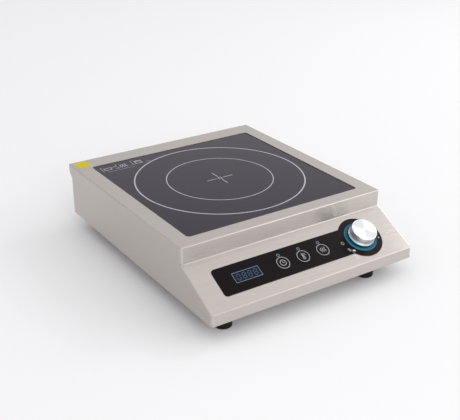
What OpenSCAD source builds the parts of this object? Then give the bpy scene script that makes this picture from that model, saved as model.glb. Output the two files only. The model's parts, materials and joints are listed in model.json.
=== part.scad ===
// Countertop induction hob: square ceramic glass in a bent stainless casing,
// with a sloping control panel, three push keys and a lit rotary knob.
// Frame: millimetres, +Z up, the controls face -Y, and the origin is on the bench
// under the middle of the outline (casing plus cable gland).

/* [Casing] */
// width over the side walls
body_w = 330; // [326:1:345]
// depth from the front lip to the tip of the cable gland
depth = 425; // [422:1:435]
// height of the cooking surface above the bench
top_z = 100; // [98:1:108]
// height of the rubber feet
foot_h = 22.6; // [20:0.2:24]
// thickness of the stainless sheet
sheet = 1.2; // [1:0.1:1.5]
// radius of the bent edges of the top
edge_r = 2.5; // [2:0.25:3]
// radius of the two rear corners, seen from above
corner_r = 3.5; // [2.5:0.5:6]
// radius of the upright front corners of the lip and the step
front_r = 4.5; // [3:0.25:6]

/* [Cooking surface] */
// side length of the square glass
glass_a = 280; // [272:1:282]
// thickness of the glass
glass_t = 4; // [4:0.25:5]
// depth of the glass below the top of the steel
glass_drop = 1; // [0.5:0.1:1.2]
// width of the silicone joint round the glass
joint_w = 1.25; // [1:0.05:1.5]
// outer radius of the induction coil
coil_r = 108; // [96:1:110]

/* [Control panel] */
// tilt of the panel from level
slope_deg = 27.5; // [26:0.5:29]
// length of the panel from the lower fold to the step
slope_len = 80.6; // [79:0.1:84]
// distance of the knob axis to the right of the middle
knob_x = 100.2; // [96:0.2:102]
// diameter of the knob
knob_d = 38; // [36:0.5:39]
// height of the knob's top above the panel
knob_h = 17.2; // [15:0.2:20]
// spacing of the push keys
key_pitch = 33; // [30:0.5:34]
// diameter of a push key
key_d = 19.8; // [18:0.2:20]

/* [Cooling] */
// width of the square fans
fan_w = 80; // [76:1:82]
// number of fan blades
blades = 7; // [5:1:9]

/* [Hidden] */
$fn = 72;

// casing
half_w = body_w / 2;
y_front = -depth / 2;
y_rim = depth / 2 - 16.65;
y_wall = y_rim - 10.5;
lip_h = 16.05;
fold_z = foot_h + lip_h;
step_y = y_front + slope_len * cos(slope_deg);
step_z = fold_z + slope_len * sin(slope_deg);
fold_r = 1.6;
foot_r = 1.5;
side_r = 2;
rim_h = 10;
plate_t = 1;
flange_w = 11;
plate_top = foot_h + plate_t;
screw_r = 2;
bolt_gap = 0.05;
rear_open_x = half_w - 14;
rear_open_z = top_z - 32;
panel_y1 = y_wall - sheet;
panel_y0 = panel_y1 - plate_t;

// glass
glass_x = 0;
glass_y = y_rim - 174.15;
glass_r = 4;
open_a = glass_a + 2 * joint_w;
glass_z = top_z - glass_drop - glass_t;
bead = 0.6;
ledge_z = glass_z - bead - sheet;
collar_in = open_a / 2 + 1;
collar_out = collar_in + sheet;
ledge_in = glass_a / 2 - 9;
frame_out = collar_out + 8;

// control panel, in the panel's own frame: x across, y up the slope, z out of it
overlay_t = 0.8;
overlay_x0 = -133.4;
overlay_y0 = 18.7;
overlay_y1 = 60.8;
knob_v = 40;
disc_r = 32.4;
lens_x = -89.1;
lens_v = 39.6;
lens_w = 40;
lens_h = 15.3;
key_v = 39;
key_x0 = 0;
key_gap = 0.3;
key_neck_r = 5;
lamp_v = 52;
lamp_r = 1.75;
ring_r = 24;
ring_neck_r = 21;
ring_bore_r = 9.2;
ring_top = 2;
skirt_h = 3.7;
board_h = -16;
board_t = 1.6;
switch_h = 4.3;
shaft_r = 3;

// fans
fan_h = 25;
fan_x = 42;
fan_y = glass_y - 109.5;
fan_bore = fan_w / 2 - 1.75;
hub_r = 15;
fan_z = plate_top;
pin_r = 1.5;

// coil
ear_d = 125;
carrier_z0 = glass_z - 8;
carrier_z1 = glass_z - 5.2;
coil_z1 = glass_z - 1;
turns = 14;
ferrite_h = 5.2;

// power board
pcb_x = 75;
pcb_y0 = glass_y - 51;
pcb_y1 = glass_y + 128;
pcb_z = plate_top + 10;
pcb_top = pcb_z + board_t;

// feet, left pair and right pair
foot_x = [-(half_w - 34.9), half_w - 58.2];
foot_y = [y_front + 28.9, y_wall - 28.9];

// gland
gland_x = -87;
gland_z = 50;
gland_r = 10;
cord_r = 4.8;

steel = [0.74, 0.72, 0.70];
black = [0.07, 0.07, 0.08];
green = [0.10, 0.33, 0.20];
plastic = [0.16, 0.16, 0.17];
zinc = [0.78, 0.79, 0.80];
copper = [0.72, 0.40, 0.22];

// ---- helpers ----

// inward offset of a closed outline given anticlockwise
function corner_in(a, b, c, d) =
  let (u = (b - a) / norm(b - a), v = (c - b) / norm(c - b),
    nu = [-u[1], u[0]], nv = [-v[1], v[0]])
  b + d * (nu + nv) / (1 + nu * nv);
function inset(p, d) =
  let (n = len(p))
  [for (i = [0 : n - 1]) corner_in(p[(i + n - 1) % n], p[i], p[(i + 1) % n], d)];
function arc(c, r, a0, a1, n) =
  [for (i = [0 : n]) c + r * [cos(a0 + (a1 - a0) * i / n), sin(a0 + (a1 - a0) * i / n)]];
// centre of the bend between the panel and the lip
function fold_centre() =
  [y_front + fold_r, fold_z - fold_r * (1 - sin(slope_deg)) / cos(slope_deg)];
// centre of the hollow bend at the foot of the step
function foot_centre() =
  [step_y - foot_r, step_z + foot_r * cos(slope_deg) / (1 + sin(slope_deg))];

// outline of the casing seen from the side, in Y and Z
function side_outline(low) = concat(
  [[y_front, low], [y_wall, low], [y_wall, top_z - 2 * rim_h], [y_rim, top_z - rim_h]],
  arc([y_rim - edge_r, top_z - edge_r], edge_r, 0, 90, 5),
  arc([step_y + fold_r, top_z - fold_r], fold_r, 90, 180, 4),
  arc(foot_centre(), foot_r, 0, slope_deg - 90, 4),
  arc(fold_centre(), fold_r, 90 + slope_deg, 180, 4));
// outline seen from the front, in X and Z
function front_outline(low) = concat(
  [[-half_w, low], [half_w, low]],
  arc([half_w - edge_r, top_z - edge_r], edge_r, 0, 90, 5),
  arc([-half_w + edge_r, top_z - edge_r], edge_r, 90, 180, 5));
// outline seen from above
function plan_outline() = concat(
  arc([-half_w + front_r, y_front + front_r], front_r, 180, 270, 6),
  arc([half_w - front_r, y_front + front_r], front_r, 270, 360, 6),
  arc([half_w - corner_r, y_rim - corner_r], corner_r, 0, 90, 8),
  arc([-half_w + corner_r, y_rim - corner_r], corner_r, 90, 180, 8));

module across(w) {
  translate([-w / 2, 0, 0]) rotate([90, 0, 90]) linear_extrude(w) children();
}

module casing_block(d, low) {
  difference() {
    intersection() {
      across(body_w + 2) polygon(inset(side_outline(low), d));
      translate([0, y_rim + 2, 0]) rotate([90, 0, 0]) linear_extrude(depth + 4)
        polygon(inset(front_outline(low), d));
      linear_extrude(top_z + 10) polygon(inset(plan_outline(), d));
    }
    for (s = [0, 1]) mirror([s, 0, 0]) {
      // upright corner of the step
      intersection() {
        linear_extrude(top_z + 10) polygon(concat([[half_w + 1, step_y - 3 + d]],
          [[half_w + 1, step_y + front_r]],
          arc([half_w - front_r, step_y + front_r], front_r - d, 0, -90, 6),
          [[half_w - front_r, step_y - 3 + d]]));
        on_slope() slab(half_w - 10, half_w + 2, 20, slope_len + 20, -d, 60);
      }
      // side edge of the panel
      if (d == 0) on_slope() rotate([-90, 0, 0]) translate([0, 0, front_r * 0.9])
        linear_extrude(slope_len + 1.2 - front_r * 0.9) polygon(concat([[half_w + 1, 1]],
          [[half_w + 1, side_r]], arc([half_w - side_r, side_r], side_r, 0, -90, 5),
          [[half_w - side_r, -1]], [[half_w + 1, -1]]));
    }
  }
}

module on_slope() {
  translate([0, y_front, fold_z]) rotate([slope_deg, 0, 0]) children();
}

// flat rounded rectangle centred on the axis
module round_rect(w, h, r) {
  square([w - 2 * r, h], center = true);
  square([w, h - 2 * r], center = true);
  for (x = [-1, 1], y = [-1, 1])
    translate([x * (w / 2 - r), y * (h / 2 - r)]) circle(r);
}

module slab(x0, x1, y0, y1, z0, z1) {
  translate([x0, y0, z0]) cube([x1 - x0, y1 - y0, z1 - z0]);
}

module rod(r, z0, z1) {
  translate([0, 0, z0]) cylinder(r = r, h = z1 - z0);
}

module hex(across_flats, z0, z1) {
  translate([0, 0, z0]) cylinder(r = across_flats / sqrt(3), h = z1 - z0, $fn = 6);
}

module at_glass() {
  translate([glass_x, glass_y, 0]) children();
}

// pan-head screw whose shank runs up from the underside of its head
module pan_screw(r, head_r, head_h, shank) {
  rotate_extrude() polygon([[0, -head_h], [head_r * 0.75, -head_h], [head_r, -head_h * 0.45],
    [head_r, 0], [r, 0], [r, shank - 0.6], [r - 0.6, shank], [0, shank]]);
}

module bottom_screw_spots() {
  for (x = [-1, 1], y = [y_front + 60, -5, y_wall - 45])
    translate([x * (half_w - sheet - 6), y, foot_h]) children();
}

module rear_screw_spots() {
  for (x = [-1, 1], z = [foot_h + 14, rear_open_z - 6])
    translate([x * (rear_open_x + 5), y_wall, z]) rotate([90, 0, 0]) children();
}

module fan_spots() {
  for (i = [-1, 1]) translate([i * fan_x, fan_y, 0]) children();
}

module post_spots(r) {
  for (a = [45 : 90 : 315]) rotate([0, 0, a]) translate([r, 0, 0]) children();
}

module foot_spots() {
  for (x = foot_x, y = foot_y) translate([x, y, 0]) children();
}

module board_post_spots() {
  for (x = [-118, 0, 118], v = [13, 67]) translate([x, v, 0]) children();
}

module pcb_spots() {
  for (x = [-pcb_x + 6, pcb_x - 6], y = [pcb_y0 + 6, pcb_y1 - 6]) translate([x, y, 0]) children();
}

// ---- casing ----

module top_cover() {
  color(steel) difference() {
    union() {
      difference() {
        casing_block(0, foot_h);
        casing_block(sheet, foot_h - 5);
      }
      // inward flanges that the bottom plate is screwed to
      for (s = [-1, 1]) translate([s * (half_w - sheet / 2 - flange_w / 2), 0, 0])
        slab(-flange_w / 2, flange_w / 2, y_front + sheet / 2, panel_y0 - 0.3,
          plate_top, plate_top + sheet);
      slab(-half_w + sheet, half_w - sheet, y_front + sheet / 2, y_front + flange_w,
        plate_top, plate_top + sheet);
    }
    at_glass() translate([0, 0, top_z - 2 * sheet]) linear_extrude(4 * sheet)
      round_rect(open_a, open_a, glass_r + joint_w);
    slab(-rear_open_x, rear_open_x, y_wall - 2 * sheet, y_wall + 2, foot_h - 1, rear_open_z);
    on_slope() {
      translate([lens_x, lens_v, -2 * sheet])
        linear_extrude(3 * sheet) square([lens_w - 3, lens_h - 3], center = true);
      for (i = [-1 : 1]) translate([key_x0 + i * key_pitch, 0, 0]) {
        translate([0, key_v, 0]) rod(key_neck_r + key_gap, -2 * sheet, 1);
        translate([0, lamp_v, 0]) rod(lamp_r + 0.1, -2 * sheet, 1);
      }
      translate([knob_x, knob_v, 0]) rod(ring_neck_r + 0.2, -2 * sheet, 1);
    }
    bottom_screw_spots() rod(screw_r + bolt_gap, 0, 4);
    rear_screw_spots() rod(screw_r + bolt_gap, -1, 4);
  }
}

module bottom_plate() {
  color(steel * 0.9) difference() {
    slab(-half_w + sheet + 0.3, half_w - sheet - 0.3, y_front + sheet + 0.3, panel_y1,
      foot_h, plate_top);
    // air intake slots under the fans
    fan_spots() for (k = [-4 : 4])
      translate([k * 7.5, 0, foot_h - 1]) linear_extrude(3)
        square([3.6, 2 * sqrt(fan_bore * fan_bore - k * k * 62) - 4], center = true);
    bottom_screw_spots() rod(screw_r + bolt_gap, -1, 3);
    foot_spots() rod(2.6, foot_h - 1, plate_top + 1);
  }
}

module rear_panel() {
  vent_n = 11;
  color(steel * 0.94) difference() {
    slab(-half_w + 5, half_w - 5, panel_y0, panel_y1, plate_top, rear_open_z + 7);
    for (g = [30, 108], k = [-(vent_n - 1) / 2 : (vent_n - 1) / 2])
      slab(g + k * 6 - 1.5, g + k * 6 + 1.5, panel_y0 - 1, panel_y1 + 1,
        plate_top + 9, rear_open_z - 6);
    translate([gland_x, panel_y1, gland_z]) rotate([90, 0, 0]) rod(gland_r + 0.2, -2, 3);
    rear_screw_spots() rod(screw_r + bolt_gap, -1, 4);
  }
}

module casing_screws() {
  color(zinc) {
    bottom_screw_spots() pan_screw(screw_r, 3.8, 2.2, 8);
    rear_screw_spots() pan_screw(screw_r, 3.8, 2.2, 8);
  }
}

// ---- glass ----

module glass_frame() {
  color(steel * 0.92) at_glass() difference() {
    union() {
      translate([0, 0, top_z - 2 * sheet]) linear_extrude(sheet)
        square(2 * frame_out, center = true);
      translate([0, 0, ledge_z]) linear_extrude(top_z - sheet - ledge_z)
        square(2 * collar_out, center = true);
    }
    translate([0, 0, ledge_z + sheet]) linear_extrude(20) square(2 * collar_in, center = true);
    translate([0, 0, ledge_z - 1]) linear_extrude(20) round_rect(2 * ledge_in, 2 * ledge_in, 6);
  }
}

module glass_seal() {
  color(black) at_glass() difference() {
    translate([0, 0, glass_z - bead]) linear_extrude(top_z - sheet - glass_z + bead)
      square(2 * collar_in, center = true);
    translate([0, 0, glass_z]) linear_extrude(20) round_rect(glass_a, glass_a, glass_r);
    translate([0, 0, glass_z - 2]) linear_extrude(20)
      round_rect(glass_a - 12, glass_a - 12, 4);
  }
}

module glass_plate() {
  color([0.10, 0.10, 0.12]) at_glass() translate([0, 0, glass_z]) linear_extrude(glass_t)
    round_rect(glass_a, glass_a, glass_r);
}

module corner_label() {
  color([0.93, 0.83, 0.22]) translate([-149, y_rim - 17.5, top_z]) rotate([0, 0, 8])
    linear_extrude(0.15) round_rect(20, 21, 1);
}

// ---- control panel ----

module overlay_outline() {
  x1 = knob_x;
  w = x1 - overlay_x0;
  translate([overlay_x0 + w / 2 + 2.5, (overlay_y0 + overlay_y1) / 2])
    round_rect(w + 5, overlay_y1 - overlay_y0, 5);
  translate([knob_x, knob_v]) circle(disc_r);
}

module control_overlay() {
  color(black) on_slope() difference() {
    linear_extrude(overlay_t) overlay_outline();
    translate([lens_x, lens_v, -1]) linear_extrude(3) square([lens_w, lens_h], center = true);
    for (i = [-1 : 1]) translate([key_x0 + i * key_pitch, 0, 0]) {
      translate([0, key_v, 0]) rod(key_d / 2 + key_gap, -1, 2);
      translate([0, lamp_v, 0]) rod(lamp_r, -1, 2);
    }
    translate([knob_x, knob_v, 0]) rod(ring_neck_r + 0.2, -1, 2);
  }
}

module display_lens() {
  color([0.16, 0.20, 0.26]) on_slope() translate([lens_x, lens_v, 0])
    linear_extrude(overlay_t) square([lens_w, lens_h], center = true);
}

module display_module() {
  color(plastic) on_slope() translate([lens_x, lens_v, 0]) {
    slab(-17, 17, -5.5, 5.5, -9, -sheet - 0.3);
    slab(-18, 18, -7, 7, board_h, -9);
  }
}

module control_board() {
  color(green) on_slope() difference() {
    union() {
      slab(-126, 126, 8, 72, board_h - board_t, board_h);
      // lamps under the light ring
      translate([knob_x, knob_v, 0]) for (a = [0 : 45 : 315]) rotate([0, 0, a])
        slab(13.2, 16.8, -1.4, 1.4, board_h - 0.2, board_h + 1.4);
      // lamps under the indicator pipe
      for (i = [-1 : 1]) translate([key_x0 + i * key_pitch, lamp_v, 0])
        slab(-1.6, 1.6, -1, 1, board_h - 0.2, board_h + 1.2);
      // socket for the ribbon cable
      slab(-12, 12, 57, 63, board_h - board_t - 7, board_h - board_t + 0.2);
    }
    board_post_spots() rod(1.6, board_h - board_t - 1, board_h + 1);
  }
}

module key_switch(i) {
  color(plastic) on_slope() translate([key_x0 + i * key_pitch, key_v, 0]) {
    slab(-6, 6, -6, 6, board_h, board_h + switch_h);
    rod(3.4, board_h + switch_h - 0.5, board_h + switch_h + 2.05);
  }
}

module indicator_pipe() {
  color([0.75, 0.86, 0.95]) on_slope() {
    slab(key_x0 - key_pitch - 4, key_x0 + key_pitch + 4, lamp_v - 1.6, lamp_v + 2.4, -7.5, -6);
    for (i = [-1 : 1]) translate([key_x0 + i * key_pitch, lamp_v, 0]) rod(lamp_r, -6.5, 0.9);
    for (i = [-1 : 1]) translate([key_x0 + i * key_pitch, lamp_v, 0])
      rod(1.2, board_h + 1.6, -7);
  }
}

module light_ring() {
  color([0.10, 0.45, 0.52]) on_slope() translate([knob_x, knob_v, 0]) rotate_extrude()
    polygon([[ring_bore_r, -8], [ring_neck_r, -8], [ring_neck_r, overlay_t], [ring_r, overlay_t],
      [ring_r, ring_top - 0.9], [ring_r - 0.8, ring_top], [ring_bore_r, ring_top]]);
}

module encoder_body() {
  color(zinc * 0.9) on_slope() translate([knob_x, knob_v, 0]) difference() {
    union() {
      slab(-6, 6, -6.2, 6.2, board_h, board_h + 6.5);
      rod(4.5, board_h + 6, board_h + 13);
    }
    rod(shaft_r + bolt_gap, board_h + 1, board_h + 20);
  }
}

module board_posts() {
  color(zinc) on_slope() board_post_spots() difference() {
    rod(3, board_h, -sheet);
    rod(1.5, board_h - 1, board_h + 8);
  }
}

module board_screws() {
  color(zinc * 0.95) on_slope() board_post_spots() translate([0, 0, board_h - board_t])
    pan_screw(1.45, 2.8, 1.8, 8);
}

// ---- knob ----

module knob_body() {
  r = knob_d / 2;
  top = knob_h;
  low = skirt_h;
  color([0.80, 0.81, 0.82]) on_slope() translate([knob_x, knob_v, 0]) difference() {
    rotate_extrude() polygon([[shaft_r + bolt_gap, low + 1], [6.5, low + 1], [6.5, top - 5],
      [r - 3, top - 5], [r - 3, low], [r - 0.5, low], [r, low + 0.5], [r, low + 1],
      [r - 1, low + 3.4], [r - 0.9, top - 1], [r - 1.4, top], [r - 2.2, top],
      [r - 2.2, top - 0.9], [shaft_r + bolt_gap, top - 0.9]]);
    // grub screw hole towards the back of the panel
    translate([0, 0, low + 6]) rotate([-90, 0, 0]) rod(1.5, 2, r + 2);
  }
}

module knob_cap() {
  r = knob_d / 2 - 2.25;
  color([0.90, 0.91, 0.92]) on_slope() translate([knob_x, knob_v, 0]) rotate_extrude()
    polygon([[0, knob_h - 0.9], [r, knob_h - 0.9], [r, knob_h - 0.1], [1.5, knob_h + 0.15],
    [0, knob_h + 0.15]]);
}

module encoder_shaft() {
  color(zinc) on_slope() translate([knob_x, knob_v, 0]) rod(shaft_r, board_h + 1.5, knob_h - 1.1);
}

// ---- keys ----

module key(i) {
  r = key_d / 2;
  color(black * 1.3) on_slope() translate([key_x0 + i * key_pitch, key_v, 0]) rotate_extrude()
    polygon([[0, -9.2], [2.6, -9.2], [2.6, -2.4], [key_neck_r + 1.3, -2.4],
      [key_neck_r + 1.3, -sheet - 0.05], [key_neck_r, -sheet - 0.05], [key_neck_r, 0.5],
      [r, 0.5], [r, 1.0], [r - 0.3, 1.3], [0, 1.3]]);
}

// ---- coil ----

module coil_carrier() {
  color([0.20, 0.19, 0.18]) at_glass() difference() {
    union() {
      rod(coil_r + 4, carrier_z0, carrier_z1);
      post_spots(0) slab(0, ear_d, -6, 6, carrier_z0, carrier_z1);
      post_spots(ear_d) rod(8, carrier_z0, carrier_z1);
      // rim that centres the winding
      difference() {
        rod(coil_r + 4, carrier_z1 - 0.5, carrier_z1 + 3);
        rod(coil_r + 2, carrier_z1 - 1, carrier_z1 + 4);
      }
    }
    rod(13, carrier_z0 - 1, carrier_z1 + 1);
    post_spots(ear_d) rod(2.2, carrier_z0 - 1, carrier_z1 + 1);
    translate([0, coil_r + 2, carrier_z1 + 0.1]) slab(-20, 20, -6, 6, 0, 4);
  }
}

module coil_winding() {
  r0 = 26;
  p = (coil_r - r0) / turns;
  zb = carrier_z1 + 0.05;
  zt = coil_z1;
  color(copper) at_glass() rotate_extrude() polygon(concat(
    [[r0, zb], [coil_r, zb]],
    [for (k = [turns - 1 : -1 : 0]) each [[r0 + (k + 0.9) * p, zt], [r0 + (k + 0.35) * p, zt],
      [r0 + (k + 0.12) * p, zt - 1]]]));
}

module ferrite(a) {
  color([0.22, 0.22, 0.23]) at_glass() rotate([0, 0, a])
    slab(38, 96, -7.5, 7.5, carrier_z0 - ferrite_h, carrier_z0);
}

module mica_sheet() {
  color([0.80, 0.74, 0.58]) at_glass() difference() {
    rod(coil_r + 1, coil_z1, coil_z1 + 0.5);
    rod(11, coil_z1 - 1, coil_z1 + 2);
  }
}

module temp_sensor() {
  color([0.85, 0.85, 0.83]) at_glass() rotate_extrude()
    polygon([[0, glass_z], [8.5, glass_z], [9, glass_z - 1], [9, carrier_z1 - 0.3], [10.5, carrier_z1 - 0.6],
      [10.5, carrier_z0 - 3], [7, carrier_z0 - 5], [2.5, carrier_z0 - 5], [2.5, carrier_z0 - 9],
      [0, carrier_z0 - 9]]);
}

module coil_posts() {
  color(zinc) at_glass() post_spots(ear_d) {
    rod(4, plate_top, carrier_z0 - 4);
    rod(1.9, carrier_z0 - 5, carrier_z1 + 3.5);
    difference() {
      hex(7, carrier_z1, carrier_z1 + 2.6);
      rod(1.95, carrier_z1 - 1, carrier_z1 + 3);
    }
  }
}

module coil_grommets() {
  color(black) at_glass() post_spots(ear_d) difference() {
    rod(6, carrier_z0 - 4, carrier_z0);
    rod(2, carrier_z0 - 5, carrier_z0 + 1);
  }
}

module coil_leads() {
  y = coil_r + 8;
  color([0.55, 0.16, 0.12]) at_glass() for (x = [-10, 10]) translate([x, 0, 0]) {
    translate([0, y, 0]) rod(1.8, pcb_top, carrier_z1 + 2);
    translate([0, y, carrier_z1 + 2]) sphere(2.5);
    translate([0, coil_r - 0.4, carrier_z1 + 2]) rotate([-90, 0, 0]) rod(1.8, 0, y - coil_r + 0.4);
  }
}

// ---- power electronics ----

module power_board() {
  color(green * 0.9) difference() {
    slab(-pcb_x, pcb_x, pcb_y0, pcb_y1, pcb_z, pcb_top);
    pcb_spots() rod(1.7, pcb_z - 1, pcb_top + 1);
  }
}

module board_spacers() {
  color(zinc) pcb_spots() {
    rod(3.5, plate_top, pcb_z);
    rod(1.5, pcb_z - 1, pcb_top + 2);
  }
}

module heatsink() {
  x0 = -66;
  x1 = 4;
  y0 = pcb_y0 + 4;
  y1 = y0 + 120;
  n = 9;
  p = (x1 - x0 - 3.5) / n;
  color([0.70, 0.72, 0.74]) {
    slab(x0, x1, y0, y1, pcb_top, pcb_top + 6);
    for (k = [0 : n - 1]) slab(x0 + k * p, x0 + k * p + 2, y0, y1, pcb_top + 5.5, pcb_top + 34);
    slab(x1 - 3.5, x1, y0, y1, pcb_top + 5.5, pcb_top + 34);
  }
}

module power_transistors() {
  color(black) for (k = [0 : 2]) translate([4, pcb_y0 + 20 + k * 26, pcb_top]) {
    difference() {
      slab(0, 5, 0, 16, 7, 28);
      translate([-1, 8, 23.5]) rotate([0, 90, 0]) rod(1.8, 0, 8);
    }
    for (j = [0 : 2]) slab(2, 2.7, 2.2 + j * 5.4, 3.4 + j * 5.4, 0, 7.5);
  }
}

module film_cap(k) {
  color([0.82, 0.62, 0.16]) translate([42, pcb_y0 + 22 + k * 28, pcb_top]) difference() {
    linear_extrude(30) round_rect(40, 22, 1.5);
    for (s = [-1, 1]) slab(s * 17 - 2, s * 17 + 2, -12, 12, -1, 0.8);
  }
}

module choke() {
  color(copper * 0.9) translate([42, pcb_y0 + 96, pcb_top + 10]) {
    rotate_extrude() translate([15, 0]) square([8, 16], center = true);
    for (a = [0 : 20 : 340]) rotate([0, 0, a]) slab(9.6, 20.4, -1.3, 1.3, -9.4, 9.4);
  }
}

module relay() {
  color([0.12, 0.22, 0.42]) translate([42, pcb_y0 + 138, pcb_top])
    linear_extrude(17) round_rect(30, 16, 0.8);
}

module terminal_block() {
  y0 = y_wall - 36;
  color([0.88, 0.87, 0.82]) difference() {
    union() {
      slab(-113, -61, y0, y0 + 22, plate_top, plate_top + 9);
      for (k = [0 : 2]) slab(-110 + k * 16, -96 + k * 16, y0 + 2, y0 + 20, plate_top + 8, plate_top + 20);
    }
    for (k = [0 : 2]) translate([-103 + k * 16, y0 + 11, 0]) {
      rod(3, plate_top + 12, plate_top + 22);
      translate([0, 0, plate_top + 14]) rotate([90, 0, 0]) rod(2.4, -12, -4);
    }
  }
}

module ribbon_cable() {
  v = board_h - board_t - 7;
  ya = y_front + 60 * cos(slope_deg) - v * sin(slope_deg);
  za = fold_z + 60 * sin(slope_deg) + v * cos(slope_deg);
  zc = plate_top + fan_h + 6;
  yb = pcb_y0 + 3;
  t = 1.2;
  color([0.62, 0.63, 0.66]) across(18) polygon([[ya, za], [ya + 5, za - 3], [ya + 9, za - 3],
    [ya + 16, zc], [yb - 4, zc], [yb, zc - 5], [yb, pcb_top], [yb - t, pcb_top], [yb - t, zc - 5.4],
    [yb - 4.6, zc - t], [ya + 16.6, zc - t], [ya + 9.6, za - 3 - t], [ya + 5, za - 3 - t],
    [ya - 0.6, za - 1]]);
}

// ---- fans ----

module fan_frame(s) {
  color(plastic) translate([s * fan_x, fan_y, fan_z]) {
    difference() {
      linear_extrude(fan_h) round_rect(fan_w, fan_w, 4);
      rod(fan_bore, -1, fan_h + 1);
      for (x = [-1, 1], y = [-1, 1]) translate([x * (fan_w / 2 - 4.5), y * (fan_w / 2 - 4.5), 0])
        rod(2.2, -1, fan_h + 1);
      for (a = [0 : 90 : 270]) rotate([0, 0, a]) slab(fan_w / 2 - 1, fan_w / 2 + 1, -24, 24, 4, fan_h - 4);
    }
    for (a = [45 : 90 : 315]) rotate([0, 0, a]) slab(12.5, fan_bore + 1.5, -1.6, 1.6, 0.3, 2.3);
    difference() {
      union() {
        rod(14, 0, 2.6);
        rod(4.5, 2, 17);
        // stator
        difference() {
          rod(11.5, 5.5, 14);
          for (a = [0 : 90 : 270]) rotate([0, 0, a]) slab(6, 13, -1.2, 1.2, 5, 15);
        }
      }
      rod(pin_r + bolt_gap, 1.4, 18);
    }
  }
}

module fan_rotor(s) {
  color(black * 1.6) translate([s * fan_x, fan_y, fan_z]) {
    difference() {
      rod(hub_r, 3.6, 22);
      rod(hub_r - 2, 3, 20);
    }
    rod(pin_r, 2, 21);
    difference() {
      for (k = [0 : blades - 1]) rotate([0, 0, k * 360 / blades])
        translate([0, 0, 12.6]) rotate([38, 0, 0]) slab(hub_r - 0.8, fan_bore + 3, -13, 13, -0.9, 0.9);
      difference() {
        rod(fan_w, -5, 30);
        rod(fan_bore - 0.9, -6, 31);
      }
      rod(hub_r - 1, -5, 30);
      rod(fan_w, -6, 3.6);
      rod(fan_w, 22, 31);
    }
  }
}

// ---- mains inlet ----

module at_gland() {
  translate([gland_x, panel_y1, gland_z]) rotate([-90, 0, 0]) children();
}

module cable_gland() {
  color(plastic) at_gland() difference() {
    union() {
      rod(gland_r, -12, 14);
      hex(24, 0, 6);
    }
    rod(5.6, -13, 15);
  }
}

module gland_nut() {
  tip = depth / 2 - panel_y1;
  color(black * 1.4) at_gland() difference() {
    union() {
      hex(24, 6.2, 17);
      rotate_extrude() polygon([[0, 16], [11.6, 16], [11.6, 18], [8.2, tip - 1], [7.4, tip], [0, tip]]);
    }
    rod(gland_r + bolt_gap, 6, 15);
    rod(cord_r, 14, tip + 1);
  }
}

module gland_locknut() {
  color(plastic) at_gland() difference() {
    hex(26, -plate_t - 5, -plate_t);
    rod(gland_r + bolt_gap, -10, 1);
  }
}

// ---- feet ----

module foot(x, y) {
  color(black) translate([x, y, 0]) difference() {
    rotate_extrude() polygon([[0, 0], [11.2, 0], [11.8, 0.8], [13, foot_h], [0, foot_h]]);
    rod(5.5, -1, foot_h - 8);
    rod(2.6, -1, foot_h + 1);
  }
}

module foot_screws() {
  color(zinc) foot_spots() translate([0, 0, foot_h - 8]) pan_screw(2.5, 4.6, 3, 12.5);
}

top_cover();
bottom_plate();
rear_panel();
glass_frame();
glass_seal();
glass_plate();
corner_label();
control_overlay();
display_lens();
display_module();
control_board();
key_switch(-1);  // key_switch_1
key_switch(0);  // key_switch_2
key_switch(1);  // key_switch_3
indicator_pipe();
light_ring();
encoder_body();
board_posts();
board_screws();
coil_carrier();
coil_winding();
ferrite(0);  // ferrite_1
ferrite(90);  // ferrite_2
ferrite(180);  // ferrite_3
ferrite(270);  // ferrite_4
mica_sheet();
temp_sensor();
coil_posts();
coil_grommets();
power_board();
board_spacers();
heatsink();
power_transistors();
film_cap(0);  // film_cap_1
film_cap(1);  // film_cap_2
choke();
relay();
terminal_block();
coil_leads();
ribbon_cable();
fan_frame(-1);  // fan_frame_1
fan_frame(1);  // fan_frame_2
cable_gland();
gland_nut();
gland_locknut();
foot(foot_x[0], foot_y[0]);  // foot_1
foot(foot_x[1], foot_y[0]);  // foot_2
foot(foot_x[0], foot_y[1]);  // foot_3
foot(foot_x[1], foot_y[1]);  // foot_4
foot_screws();
casing_screws();
knob_body();
knob_cap();
encoder_shaft();
key(-1);  // key_1
key(0);  // key_2
key(1);  // key_3
fan_rotor(-1);  // fan_rotor_1
fan_rotor(1);  // fan_rotor_2
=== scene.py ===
import bpy, bmesh, math, json
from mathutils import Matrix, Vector


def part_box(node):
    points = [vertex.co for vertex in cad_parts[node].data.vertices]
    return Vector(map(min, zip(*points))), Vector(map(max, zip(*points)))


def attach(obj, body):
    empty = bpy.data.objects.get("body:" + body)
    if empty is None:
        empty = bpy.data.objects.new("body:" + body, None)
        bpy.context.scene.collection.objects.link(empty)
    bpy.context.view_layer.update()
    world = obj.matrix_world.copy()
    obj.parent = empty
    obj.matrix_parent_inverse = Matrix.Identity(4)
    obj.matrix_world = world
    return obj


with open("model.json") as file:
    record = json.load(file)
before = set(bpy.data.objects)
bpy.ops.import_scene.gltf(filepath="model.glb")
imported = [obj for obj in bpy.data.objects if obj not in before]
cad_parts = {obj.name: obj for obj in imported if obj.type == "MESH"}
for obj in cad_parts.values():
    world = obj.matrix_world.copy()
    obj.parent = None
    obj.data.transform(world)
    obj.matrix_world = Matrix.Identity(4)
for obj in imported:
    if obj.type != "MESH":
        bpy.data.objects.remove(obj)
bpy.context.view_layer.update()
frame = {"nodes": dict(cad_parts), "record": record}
nodes = frame["nodes"]
joints = {j["name"]: j for j in frame["record"]["behaviour"]["joints"]}
scene = bpy.context.scene
MM = 0.001
X, Y, Z = Vector((1, 0, 0)), Vector((0, 1, 0)), Vector((0, 0, 1))

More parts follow.
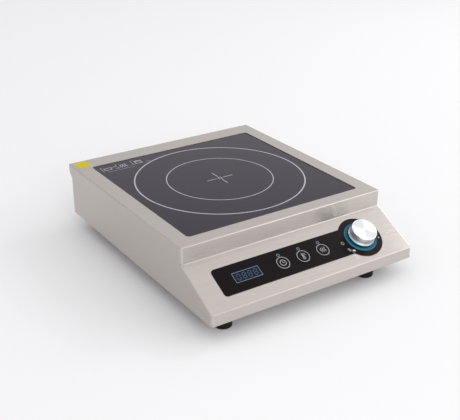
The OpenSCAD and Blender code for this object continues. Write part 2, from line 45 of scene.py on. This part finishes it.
# ---------------------------------------------------------------- places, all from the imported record
glass_lo, glass_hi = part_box("glass_plate")
GLASS = Vector(((glass_lo.x + glass_hi.x) / 2, (glass_lo.y + glass_hi.y) / 2, glass_hi.z))
KNOB = Vector(joints["knob_turn"]["pos_m"])
N = Vector(joints["knob_turn"]["axis"]).normalized()
U = X
V = N.cross(U).normalized()


def on_panel(node):
    """centre of a node's box, as (across, up the panel) in millimetres from the knob's axis"""
    lo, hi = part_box(node)
    d = (lo + hi) / 2 - KNOB
    return d.dot(U) / MM, d.dot(V) / MM


# ---------------------------------------------------------------- shader helpers
def node_tree(name):
    m = bpy.data.materials.new(name)
    m.use_nodes = True
    nt = m.node_tree
    return m, nt, nt.nodes["Principled BSDF"]


def add(nt, kind, **settings):
    n = nt.nodes.new(kind)
    for k, v in settings.items():
        setattr(n, k, v)
    return n


def coords(nt, kind="Object"):
    return add(nt, "ShaderNodeTexCoord").outputs[kind]


def stretched(nt, vector, scale):
    m = add(nt, "ShaderNodeMapping")
    m.inputs["Scale"].default_value = scale
    nt.links.new(vector, m.inputs["Vector"])
    return m.outputs["Vector"]


def noise(nt, vector, scale, detail=4.0, rough=0.55):
    n = add(nt, "ShaderNodeTexNoise")
    n.inputs["Scale"].default_value = scale
    n.inputs["Detail"].default_value = detail
    n.inputs["Roughness"].default_value = rough
    nt.links.new(vector, n.inputs["Vector"])
    return n.outputs["Fac"]


def ramp(nt, fac, stops):
    r = add(nt, "ShaderNodeValToRGB")
    e = r.color_ramp.elements
    while len(e) < len(stops):
        e.new(0.5)
    for el, (place, color) in zip(e, stops):
        el.position = place
        el.color = (*color, 1)
    nt.links.new(fac, r.inputs["Fac"])
    return r.outputs["Color"]


def span(nt, value, a, b, lo=0.0, hi=1.0):
    m = add(nt, "ShaderNodeMapRange")
    for key, v in zip(("From Min", "From Max", "To Min", "To Max"), (a, b, lo, hi)):
        m.inputs[key].default_value = v
    nt.links.new(value, m.inputs["Value"])
    return m.outputs["Result"]


def times_plus(nt, value, factor, plus):
    """value * factor + plus, where plus is another socket"""
    m = add(nt, "ShaderNodeMath", operation="MULTIPLY_ADD")
    nt.links.new(value, m.inputs[0])
    m.inputs[1].default_value = factor
    nt.links.new(plus, m.inputs[2])
    return m.outputs[0]


def from_axis(nt, position, centre, axis):
    """offset from a centre, and the distance from the axis through it"""
    off = add(nt, "ShaderNodeVectorMath", operation="SUBTRACT")
    nt.links.new(position, off.inputs[0])
    off.inputs[1].default_value = centre
    cross = add(nt, "ShaderNodeVectorMath", operation="CROSS_PRODUCT")
    nt.links.new(off.outputs[0], cross.inputs[0])
    cross.inputs[1].default_value = axis
    radius = add(nt, "ShaderNodeVectorMath", operation="LENGTH")
    nt.links.new(cross.outputs[0], radius.inputs[0])
    return off.outputs[0], radius.outputs["Value"]


def bump(nt, p, height, strength, distance):
    b = add(nt, "ShaderNodeBump")
    b.inputs["Strength"].default_value = strength
    b.inputs["Distance"].default_value = distance
    nt.links.new(height, b.inputs["Height"])
    nt.links.new(b.outputs["Normal"], p.inputs["Normal"])


def shade(c, k):
    return tuple(min(1.0, x * k) for x in c)


# ---------------------------------------------------------------- materials
def plain(name, color, rough, metallic=0.0, grain=900.0, vary=0.12, bump_by=0.15, shine=0.5,
          coat=0.0, spread=0.10, blotch=45.0):
    """moulded, cast or printed surface: fine grain, soft blotches and uneven gloss"""
    m, nt, p = node_tree(name)
    c = coords(nt)
    fine, soft = noise(nt, c, grain, 3), noise(nt, c, blotch, 4)
    mix = times_plus(nt, fine, 0.35, span(nt, soft, 0.3, 0.7, 0.0, 0.65))
    nt.links.new(ramp(nt, mix, [(0.1, shade(color, 1 - vary)), (0.9, shade(color, 1 + vary))]),
                 p.inputs["Base Color"])
    nt.links.new(span(nt, soft, 0.25, 0.75, max(0.02, rough - spread / 2), rough + spread / 2),
                 p.inputs["Roughness"])
    p.inputs["Metallic"].default_value = metallic
    p.inputs["Specular IOR Level"].default_value = shine
    p.inputs["Coat Weight"].default_value = coat
    bump(nt, p, fine, bump_by, 0.0002)
    return m


def brushed(name, color, rough, aniso=0.55, line=0.022, depth=0.05, smear=0.012):
    """brushed stainless: long fine lines, across the front and top, and fore and aft on the side walls"""
    side_from, side_duller = 0.72, 0.08
    long_lines, fine_lines = 7, 1100
    m, nt, p = node_tree(name)
    c = coords(nt)
    normal = add(nt, "ShaderNodeNewGeometry").outputs["Normal"]
    sep = add(nt, "ShaderNodeSeparateXYZ")
    nt.links.new(normal, sep.inputs[0])
    ax = add(nt, "ShaderNodeMath", operation="ABSOLUTE")
    nt.links.new(sep.outputs["X"], ax.inputs[0])
    side = add(nt, "ShaderNodeMath", operation="GREATER_THAN")
    nt.links.new(ax.outputs[0], side.inputs[0])
    side.inputs[1].default_value = side_from

    v = add(nt, "ShaderNodeMix", data_type="VECTOR")
    nt.links.new(side.outputs[0], v.inputs["Factor"])
    nt.links.new(stretched(nt, c, (long_lines, fine_lines, fine_lines)), v.inputs[4])
    nt.links.new(stretched(nt, c, (fine_lines, long_lines, fine_lines)), v.inputs[5])
    lines = noise(nt, v.outputs[1], 1.0, 5, 0.6)
    coarse = noise(nt, v.outputs[1], 0.22, 2, 0.5)
    cloud = noise(nt, c, 7, 3, 0.5)

    both = times_plus(nt, lines, 0.7, span(nt, coarse, 0.3, 0.7, 0.0, 0.3))
    grain = ramp(nt, both, [(0.25, shade(color, 1 - line)), (0.75, shade(color, 1 + line))])
    wiped = add(nt, "ShaderNodeMix", data_type="RGBA", blend_type="MULTIPLY")
    wiped.inputs["Factor"].default_value = 1.0
    nt.links.new(grain, wiped.inputs[6])
    nt.links.new(ramp(nt, cloud, [(0.3, (1 - smear * 2,) * 3), (0.7, (1, 1, 1))]), wiped.inputs[7])
    nt.links.new(wiped.outputs[2], p.inputs["Base Color"])

    gloss = times_plus(nt, cloud, 0.06, span(nt, lines, 0.3, 0.7, rough - 0.05, rough))
    nt.links.new(times_plus(nt, side.outputs[0], side_duller, gloss), p.inputs["Roughness"])
    p.inputs["Metallic"].default_value = 1.0
    p.inputs["Anisotropic"].default_value = aniso
    grain_dir = add(nt, "ShaderNodeMix", data_type="VECTOR")
    nt.links.new(side.outputs[0], grain_dir.inputs["Factor"])
    grain_dir.inputs[4].default_value = X
    grain_dir.inputs[5].default_value = Y
    across = add(nt, "ShaderNodeVectorMath", operation="CROSS_PRODUCT")
    nt.links.new(grain_dir.outputs[1], across.inputs[0])
    nt.links.new(normal, across.inputs[1])
    nt.links.new(across.outputs[0], p.inputs["Tangent"])
    bump(nt, p, lines, depth, 0.00006)
    return m


def spun(name, color, rough, pitch, aniso, depth, line):
    """turned metal: fine concentric lines round the knob's axis"""
    m, nt, p = node_tree(name)
    position = add(nt, "ShaderNodeNewGeometry").outputs["Position"]
    off, radius = from_axis(nt, position, KNOB, N)
    groove = add(nt, "ShaderNodeTexNoise", noise_dimensions="1D")
    groove.inputs["Scale"].default_value = 1.0 / pitch
    groove.inputs["Detail"].default_value = 4
    nt.links.new(radius, groove.inputs["W"])
    fac = groove.outputs["Fac"]
    nt.links.new(ramp(nt, fac, [(0.3, shade(color, 1 - line)), (0.7, shade(color, 1 + line))]),
                 p.inputs["Base Color"])
    nt.links.new(span(nt, fac, 0.3, 0.7, rough - 0.05, rough + 0.05), p.inputs["Roughness"])
    p.inputs["Metallic"].default_value = 1.0
    p.inputs["Anisotropic"].default_value = aniso
    nt.links.new(off, p.inputs["Tangent"])
    bump(nt, p, fac, depth, 0.00005)
    return m


def ring_plastic(name):
    """teal lens ring: painted shade where it runs in under the knob, a painted highlight towards its rim, and
    a faint painted glow
    """
    m, nt, p = node_tree(name)
    c = coords(nt)
    radius = from_axis(nt, c, KNOB, N)[1]
    painted_shade_radius = times_plus(nt, noise(nt, c, 160, 3), 0.0008, radius)
    ring_lo, ring_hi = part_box("light_ring")
    rim = (ring_hi.x - ring_lo.x) / 2
    # painted shade near the knob and a painted highlight at the rim, graded by distance from the knob's axis
    col = ramp(nt, span(nt, painted_shade_radius, rim - 0.0050, rim + 0.0004),
               [(0.0, (0.0002, 0.040, 0.066)), (0.60, (0.0004, 0.080, 0.125)),
                (0.86, (0.001, 0.105, 0.155)), (1.0, (0.010, 0.20, 0.26))])
    nt.links.new(col, p.inputs["Base Color"])
    # the ring's colour is also emitted faintly: a painted glow, the ring is not lit
    nt.links.new(col, p.inputs["Emission Color"])
    p.inputs["Emission Strength"].default_value = 0.12
    p.inputs["Roughness"].default_value = 0.22
    p.inputs["Specular IOR Level"].default_value = 0.22
    p.inputs["Coat Weight"].default_value = 0.08
    p.inputs["Coat Roughness"].default_value = 0.08
    bump(nt, p, noise(nt, c, 1400, 2), 0.05, 0.0001)
    return m


def ceramic_glass(name):
    """black ceramic glass: a slight violet cast, fine specks and a faint haze in the gloss"""
    m, nt, p = node_tree(name)
    c = coords(nt)
    speck = noise(nt, c, 2600, 2, 0.6)
    haze = noise(nt, c, 11, 5, 0.6)
    nt.links.new(ramp(nt, speck, [(0.35, (0.007, 0.0025, 0.012)), (0.62, (0.012, 0.006, 0.020)),
                                  (0.78, (0.028, 0.022, 0.038))]), p.inputs["Base Color"])
    nt.links.new(span(nt, haze, 0.3, 0.7, 0.07, 0.12), p.inputs["Roughness"])
    p.inputs["Specular IOR Level"].default_value = 0.27
    p.inputs["Specular Tint"].default_value = (0.93, 0.85, 1.0, 1)
    bump(nt, p, haze, 0.02, 0.0006)
    return m


def board(name, color):
    """circuit board: solder resist over a grid of tracks"""
    m, nt, p = node_tree(name)
    c = coords(nt)
    b = add(nt, "ShaderNodeTexBrick")
    b.inputs["Scale"].default_value = 130
    b.inputs["Mortar Size"].default_value = 0.035
    for key, k in (("Color1", 0.9), ("Color2", 1.15), ("Mortar", 1.7)):
        b.inputs[key].default_value = (*shade(color, k), 1)
    nt.links.new(c, b.inputs["Vector"])
    nt.links.new(b.outputs["Color"], p.inputs["Base Color"])
    nt.links.new(span(nt, noise(nt, c, 300, 3), 0.3, 0.7, 0.28, 0.42), p.inputs["Roughness"])
    bump(nt, p, b.outputs["Fac"], 0.3, 0.0001)
    return m


def striped(name, color, dark, pitch, axis, rough=0.45, metallic=0.0):
    """parallel wires or turns side by side, with painted shade in the darker grooves between them"""
    m, nt, p = node_tree(name)
    c = coords(nt)
    w = add(nt, "ShaderNodeTexWave", bands_direction=axis)
    w.inputs["Scale"].default_value = 0.5 / (3.1416 * pitch)
    w.inputs["Distortion"].default_value = 0.4
    nt.links.new(c, w.inputs["Vector"])
    # the dark colour in the grooves is painted shade
    nt.links.new(ramp(nt, w.outputs["Fac"], [(0.15, dark), (0.6, color)]), p.inputs["Base Color"])
    nt.links.new(span(nt, noise(nt, c, 200, 3), 0.3, 0.7, rough - 0.06, rough + 0.06), p.inputs["Roughness"])
    p.inputs["Metallic"].default_value = metallic
    bump(nt, p, w.outputs["Fac"], 0.5, 0.0003)
    return m


STEEL = (0.585, 0.54, 0.51)
M = dict(
    stainless=brushed("stainless", STEEL, 0.25, aniso=0.97),
    stainless_in=brushed("stainless_inner", shade(STEEL, 0.85), 0.40),
    zinc=plain("zinc_plate", (0.55, 0.56, 0.57), 0.34, 1.0, 700, 0.10, 0.10),
    glass=ceramic_glass("ceramic_glass"),
    silicone=plain("silicone", (0.003, 0.0025, 0.003), 0.55, 0.0, 1200, 0.25, 0.25, shine=0.06),
    label=plain("label_vinyl", (0.60, 0.47, 0.004), 0.45, 0.0, 900, 0.08, 0.05, shine=0.10),
    overlay=plain("overlay_film", (0.0030, 0.0006, 0.0014), 0.32, 0.0, 1500, 0.25, 0.05,
                  shine=0.11, spread=0.04),
    lens=plain("smoked_lens", (0.004, 0.010, 0.022), 0.14, 0.0, 1500, 0.2, 0.03, shine=0.14),
    black=plain("black_plastic", (0.020, 0.020, 0.022), 0.48, 0.0, 900, 0.2, 0.3),
    board=board("board_green", (0.012, 0.085, 0.035)),
    clear=plain("light_pipe", (0.020, 0.028, 0.036), 0.18, 0.0, 900, 0.10, 0.03, shine=0.4),
    teal=ring_plastic("teal_lens"),
    chrome=spun("knob_side", (0.95, 0.96, 0.97), 0.34, 0.0004, aniso=0.9, depth=0.02, line=0.03),
    cap=spun("knob_face", (0.71, 0.745, 0.77), 0.26, 0.0005, aniso=0.85, depth=0.04, line=0.03),
    shaft=plain("turned_steel", (0.58, 0.58, 0.60), 0.28, 1.0, 1400, 0.08, 0.10),
    alu=brushed("extruded_aluminium", (0.66, 0.68, 0.70), 0.36),
    bakelite=plain("coil_former", (0.035, 0.028, 0.022), 0.6, 0.0, 800, 0.25, 0.35),
    # striped finish: the second colour is painted shade in the grooves between the turns
    copper=striped("litz_copper", (0.72, 0.30, 0.12), (0.30, 0.10, 0.04), 0.0012, "DIAGONAL", 0.38, 0.9),
    ferrite=plain("ferrite", (0.045, 0.045, 0.048), 0.55, 0.2, 900, 0.25, 0.4),
    mica=plain("mica", (0.55, 0.46, 0.30), 0.40, 0.0, 260, 0.22, 0.2, coat=0.2, blotch=80),
    ceramic=plain("sensor_ceramic", (0.68, 0.68, 0.64), 0.5, 0.0, 900, 0.08, 0.2),
    epoxy=plain("epoxy", (0.016, 0.016, 0.016), 0.5, 0.0, 1600, 0.2, 0.35),
    film=plain("film_capacitor", (0.62, 0.36, 0.04), 0.33, 0.0, 500, 0.10, 0.12, coat=0.3),
    relay=plain("relay_blue", (0.015, 0.06, 0.22), 0.35, 0.0, 800, 0.12, 0.12),
    terminal=plain("terminal_white", (0.62, 0.60, 0.54), 0.45, 0.0, 900, 0.08, 0.15),
    # striped finishes: the second colour is painted shade in the grooves between the wires
    lead=striped("lead_red", (0.36, 0.03, 0.02), (0.22, 0.015, 0.01), 0.004, "Z", 0.5),
    ribbon=striped("ribbon_grey", (0.42, 0.43, 0.46), (0.24, 0.25, 0.27), 0.0013, "X", 0.5),
    rubber=plain("foot_rubber", (0.005, 0.0045, 0.005), 0.60, 0.0, 700, 0.3, 0.4, shine=0.25),
    key=plain("key_cap", (0.006, 0.004, 0.005), 0.22, 0.0, 1500, 0.2, 0.05, shine=0.14, spread=0.05),
    ink=plain("print_grey", (0.45, 0.45, 0.52), 0.40, 0.0, 2200, 0.08, 0.05),
    ink_dim=plain("print_dim", (0.34, 0.34, 0.40), 0.40, 0.0, 2200, 0.08, 0.05),
    ink_key=plain("print_key", (0.36, 0.345, 0.34), 0.45, 0.0, 2200, 0.08, 0.05),
    ink_blue=plain("print_blue", (0.17, 0.24, 0.31), 0.40, 0.0, 2200, 0.08, 0.05, shine=0.2),
    digits=plain("display_digits", (0.055, 0.085, 0.15), 0.35, 0.0, 2200, 0.08, 0.03, shine=0.2),
    ink_green=plain("print_green", (0.06, 0.16, 0.06), 0.45, 0.0, 2200, 0.08, 0.05),
    ink_white=plain("print_white", (0.68, 0.70, 0.70), 0.45, 0.0, 2200, 0.05, 0.05),
)

PAINT = dict(
    top_cover="stainless", bottom_plate="stainless_in", rear_panel="stainless_in", glass_frame="stainless_in",
    glass_seal="silicone", glass_plate="glass", corner_label="label", control_overlay="overlay",
    display_lens="lens", display_module="black", control_board="board", indicator_pipe="clear",
    light_ring="teal", encoder_body="zinc", board_posts="zinc", board_screws="zinc", coil_carrier="bakelite",
    coil_winding="copper", mica_sheet="mica", temp_sensor="ceramic", coil_posts="zinc",
    coil_grommets="silicone", power_board="board", board_spacers="zinc", heatsink="alu",
    power_transistors="epoxy", choke="copper", relay="relay", terminal_block="terminal", coil_leads="lead",
    ribbon_cable="ribbon", cable_gland="black", gland_nut="black", gland_locknut="black", foot_screws="zinc",
    casing_screws="zinc", knob_body="chrome", knob_cap="cap", encoder_shaft="shaft",
)
# numbered nodes share one material each
for stem, mat in (("key_switch_", "black"), ("ferrite_", "ferrite"), ("film_cap_", "film"),
                  ("fan_frame_", "black"), ("fan_rotor_", "epoxy"), ("foot_", "rubber"), ("key_", "key")):
    for i in range(1, 5):
        PAINT[stem + str(i)] = mat
for name, o in nodes.items():
    o.data.materials.clear()
    o.data.materials.append(M[PAINT[name]])


# ---------------------------------------------------------------- outlines, in millimetres
def circle(cx, cy, r, n):
    turns = [2 * math.pi * i / n for i in range(n)]
    return [(cx + r * math.cos(t), cy + r * math.sin(t)) for t in turns]


def ring(cx, cy, r, w, n):
    """a circular line of width w"""
    return circle(cx, cy, r + w / 2, n), circle(cx, cy, r - w / 2, n)


def stroke(pts, w, closed=False):
    """a line of width w along points: two loops if it closes, else one outline and None"""
    sharpest = 0.35
    n = len(pts)
    left, right = [], []
    for i in range(n):
        before = pts[(i - 1) % n] if closed or i > 0 else None
        here = pts[i]
        after = pts[(i + 1) % n] if closed or i < n - 1 else None
        ways = []
        for p, q in ((before, here), (here, after)):
            if p is not None and q is not None:
                run = math.hypot(q[0] - p[0], q[1] - p[1])
                ways.append(((q[0] - p[0]) / run, (q[1] - p[1]) / run))
        if len(ways) == 1:
            ways = ways * 2
        nx, ny = -(ways[0][1] + ways[1][1]), ways[0][0] + ways[1][0]
        run = math.hypot(nx, ny)
        k = w / 2 / max(sharpest, run / 2) / run
        left.append((here[0] + nx * k, here[1] + ny * k))
        right.append((here[0] - nx * k, here[1] - ny * k))
    return (left, right) if closed else (left + right[::-1], None)


def waves(centres, swing, turn, foot, rise, steps, w):
    """rising wavy lines, one over each centre"""
    return [stroke([(k + swing * math.sin(t * turn), foot + t * rise) for t in range(steps)], w)
            for k in centres]


def shift(shapes, dx, dy):
    def moved(loop):
        return None if loop is None else [(x + dx, y + dy) for x, y in loop]
    return [(moved(outer), moved(inner)) for outer, inner in shapes]


# ---------------------------------------------------------------- printed graphics
INK = 0.04
GLASS_FACE = (GLASS, X, Y, Z)
PANEL_FACE = (KNOB, U, V, N)
OVERLAY_TOP = 0.8
KEY_TOP = 1.3


def prints(name, shapes, face, low, mat, body, ink=INK):
    """thin closed prisms of ink from flat outlines, standing at height low over a face"""
    origin, ex, ey, ez = face
    bm = bmesh.new()

    def loop(points, h):
        return [bm.verts.new(origin + (ex * x + ey * y + ez * h) * MM) for x, y in points]

    for outer, inner in shapes:
        if inner is None:
            bottom, top = loop(outer, low), loop(outer, low + ink)
            bm.faces.new(top)
            bm.faces.new(bottom[::-1])
            walls = [(bottom, top)]
        else:
            loops = [loop(outer, low), loop(outer, low + ink), loop(inner, low + ink), loop(inner, low)]
            walls = list(zip(loops, loops[1:] + loops[:1]))
        for a, b in walls:
            for i in range(len(outer)):
                j = (i + 1) % len(outer)
                bm.faces.new((a[i], a[j], b[j], b[i]))
    bmesh.ops.triangulate(bm, faces=[f for f in bm.faces if len(f.verts) > 4])
    bmesh.ops.recalc_face_normals(bm, faces=bm.faces)
    mesh = bpy.data.meshes.new(name)
    bm.to_mesh(mesh)
    bm.free()
    o = bpy.data.objects.new(name, mesh)
    scene.collection.objects.link(o)
    mesh.materials.append(mat)
    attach(o, body)


def panel_print(name, shapes, mat, ink=INK):
    prints(name, shapes, PANEL_FACE, OVERLAY_TOP, M[mat], "housing", ink)


# cooking zone on the glass: two rings and a plain centring cross, a little off the middle as in the photo
zone_x, zone_y = -0.6, 0.85
zone = [ring(0, 0, 125.2, 1.9, 180), ring(0, 0, 78.7, 1.3, 144)]
for ca, sa in ((1, 0), (0, 1), (-1, 0), (0, -1)):
    zone.append(stroke([(6 * ca, 6 * sa), (22 * ca, 22 * sa)], 1.2))
zone.append(ring(0, 0, 3.0, 1.1, 32))
prints("zone_print", shift(zone, zone_x, zone_y), GLASS_FACE, 0.0, M["ink"], "housing")

# three generic pictograms at the rear left of the glass: a pan, heat and a pot, with thin rules
pan = [stroke([(-6, 3.6), (-4.8, -3.6), (4.8, -3.6), (6, 3.6)], 1.5), stroke([(-7.2, 3.6), (7.2, 3.6)], 1.5),
       stroke([(8, 2.6), (15, 4.6)], 1.3)]
heat = waves((-4.2, 0, 4.2), 1.1, 1.05, -5.5, 1.15, 11, 1.5)
pot = [stroke([(-5, 2.2), (-5, -5), (5, -5), (5, 2.2)], 1.5, True), stroke([(-6.6, 4.2), (6.6, 4.2)], 1.5),
       stroke([(0, 5), (0, 7.2)], 1.8)]
bracket = [stroke([(-5.5, 8), (-9.5, 8), (-9.5, -7)], 1.1)]
pictograms = []
for sign, px, py in ((pan, -123, 122.5), (heat, -97.5, 123), (pot, -71.5, 124.5)):
    pictograms += shift(sign + bracket, px, py)
for k, rule_x in enumerate((-113, -86.5, -61)):
    rule_y = 117.5 + 0.9 * k
    pictograms.append(stroke([(rule_x, rule_y), (rule_x + 9, rule_y)], 0.7))
pictograms.append(stroke([(-128, 111.5), (-84, 111.5)], 0.7))
prints("glass_pictograms", pictograms, GLASS_FACE, 0.0, M["ink_dim"], "housing")

# display: a frame line and four seven-segment digits
lens_x, lens_v = on_panel("display_lens")
half_x, half_v = 19.9, 7.4
frame_line = [(-half_x, -half_v), (half_x, -half_v), (half_x, half_v), (-half_x, half_v)]
panel_print("display_outline", shift([stroke(frame_line, 0.65, True)], lens_x, lens_v), "ink_blue")

SEGMENTS = {"a": ((-1, 2), (1, 2)), "b": ((1, 2), (1, 0)), "c": ((1, 0), (1, -2)), "d": ((-1, -2), (1, -2)),
            "e": ((-1, 0), (-1, -2)), "f": ((-1, 2), (-1, 0)), "g": ((-1, 0), (1, 0))}
digit_x, digit_v, digit_step = 2.3, 2.2, 8.6
segment_gap, slant = 0.75, 0.09


def segment(key):
    """one bar of a digit, short of the corners at both ends and leaning to the right"""
    (ax, ay), (bx, by) = [(x * digit_x, y * digit_v) for x, y in SEGMENTS[key]]
    run = math.hypot(bx - ax, by - ay)
    dx, dy = (bx - ax) * segment_gap / run, (by - ay) * segment_gap / run
    ends = ((ax + dx, ay + dy), (bx - dx, by - dy))
    return stroke([(x + y * slant, y) for x, y in ends], 1.05)


bars = []
for k, lit in enumerate(("abcdef", "abcdefg", "abcdefg", "abcdefg")):
    bars += shift([segment(key) for key in lit], lens_x + (k - 1.5) * digit_step, lens_v)
panel_print("display_digits", bars, "digits", ink=0.03)

# keys: a ring with a generic sign (clock, thermometer, heat), and a lamp outline above each
clock = [ring(0, 0, 4.3, 0.9, 40), stroke([(0, 3.0), (0, 0), (2.4, 0)], 0.8)]
thermometer = [ring(0, -3.1, 1.7, 0.9, 28),
               stroke([(-1.0, -1.4), (-1.0, 4.2), (1.0, 4.2), (1.0, -1.4)], 0.7),
               stroke([(2.4, 3.4), (4.2, 3.4)], 0.7), stroke([(2.4, 1.2), (4.2, 1.2)], 0.7)]
key_heat = waves((-3.0, 0, 3.0), 0.8, 1.25, -3.4, 1, 8, 0.8)
lamps = []
for i, (body, sign) in enumerate((("key_left", clock), ("key_middle", thermometer), ("key_right", key_heat))):
    key_x = on_panel(f"key_{i + 1}")[0]
    switch_v = on_panel(f"key_switch_{i + 1}")[1]
    prints(body + "_print", shift([ring(0, 0, 8.9, 0.8, 72)] + sign, key_x, switch_v - 0.2), PANEL_FACE,
           KEY_TOP, M["ink_key"], body)
    lamps.append(ring(key_x, switch_v + 12.8, 2.15, 0.6, 28))
panel_print("lamp_outlines", lamps, "ink_blue")

# marks round the knob: an off ring, three bars, a white and a green mark, and a pointer at the end
marks = [ring(-32.7, -1.3, 2.1, 0.75, 32)]
for bar_deg in (201.8, 205.2, 208.6):
    c, s = math.cos(math.radians(bar_deg)), math.sin(math.radians(bar_deg))
    marks.append(stroke([(30.6 * c, 30.6 * s), (34.4 * c, 34.4 * s)], 1.0))
panel_print("knob_marks", marks, "ink_key")
panel_print("knob_mark_white", [stroke([(-25.6, -16.3), (-21.7, -17.7)], 2.3)], "ink_white")
panel_print("knob_mark_green", [stroke([(-27.6, -19.0), (-24.6, -20.6)], 1.8)], "ink_green")
panel_print("knob_mark_end", [([(26.9, -7.7), (24.2, -10.6), (26.9, -11.2)], None)], "ink_key")

# ---------------------------------------------------------------- studio
FLOOR = 14.0
floor_mesh = bpy.data.meshes.new("studio_floor")
floor_mesh.from_pydata([(-FLOOR, -FLOOR, 0), (FLOOR, -FLOOR, 0), (FLOOR, FLOOR, 0), (-FLOOR, FLOOR, 0)],
                       [], [(0, 1, 2, 3)])
floor = bpy.data.objects.new("studio_floor", floor_mesh)
scene.collection.objects.link(floor)
paper, _, paper_shader = node_tree("studio_paper")
paper_shader.inputs["Base Color"].default_value = (0.86, 0.86, 0.87, 1)
paper_shader.inputs["Roughness"].default_value = 0.85
paper_shader.inputs["Specular IOR Level"].default_value = 0.15
floor_mesh.materials.append(paper)

# the room: a little brighter in front and to the right than behind
ROOM_DARK, ROOM_BRIGHT = 0.66, 1.10
world = bpy.data.worlds.new("studio")
scene.world = world
world.use_nodes = True
room = world.node_tree
bg = room.nodes["Background"]
bg.inputs["Color"].default_value = (1.0, 0.995, 1.0, 1)
facing = add(room, "ShaderNodeVectorMath", operation="DOT_PRODUCT")
room.links.new(coords(room, "Generated"), facing.inputs[0])
facing.inputs[1].default_value = Vector((0.45, -0.85, 0.28)).normalized()
room.links.new(span(room, facing.outputs["Value"], -1, 1, ROOM_DARK, ROOM_BRIGHT), bg.inputs["Strength"])


def area(name, place, aim, size, watts):
    light = bpy.data.lights.new(name, "AREA")
    light.shape = "RECTANGLE"
    light.size, light.size_y = size
    light.energy = watts
    o = bpy.data.objects.new(name, light)
    scene.collection.objects.link(o)
    o.location = place
    o.rotation_euler = (Vector(aim) - Vector(place)).to_track_quat("-Z", "Y").to_euler()


area("softbox_right", (2.1, 0.15, 1.65), (0, 0, 0.05), (0.7, 0.7), 8)
area("softbox_front", (2.3, -1.9, 1.8), (0, 0, 0.05), (2.2, 1.3), 12)
area("fill_front", (-0.5, -2.3, 1.0), (0.2, -0.7, 0), (1.0, 0.8), 10)

cam = bpy.data.cameras.new("camera")
cam.sensor_width = 36
cam.lens = 67.2018
cam.clip_end = 60
camera = bpy.data.objects.new("camera", cam)
scene.collection.objects.link(camera)
camera.location = (-0.63285, -0.95919, 0.59121)
camera.rotation_euler = (math.radians(65), 0, math.radians(-33.51))
scene.camera = camera
scene.view_settings.view_transform = "Standard"
scene.view_settings.look = "None"
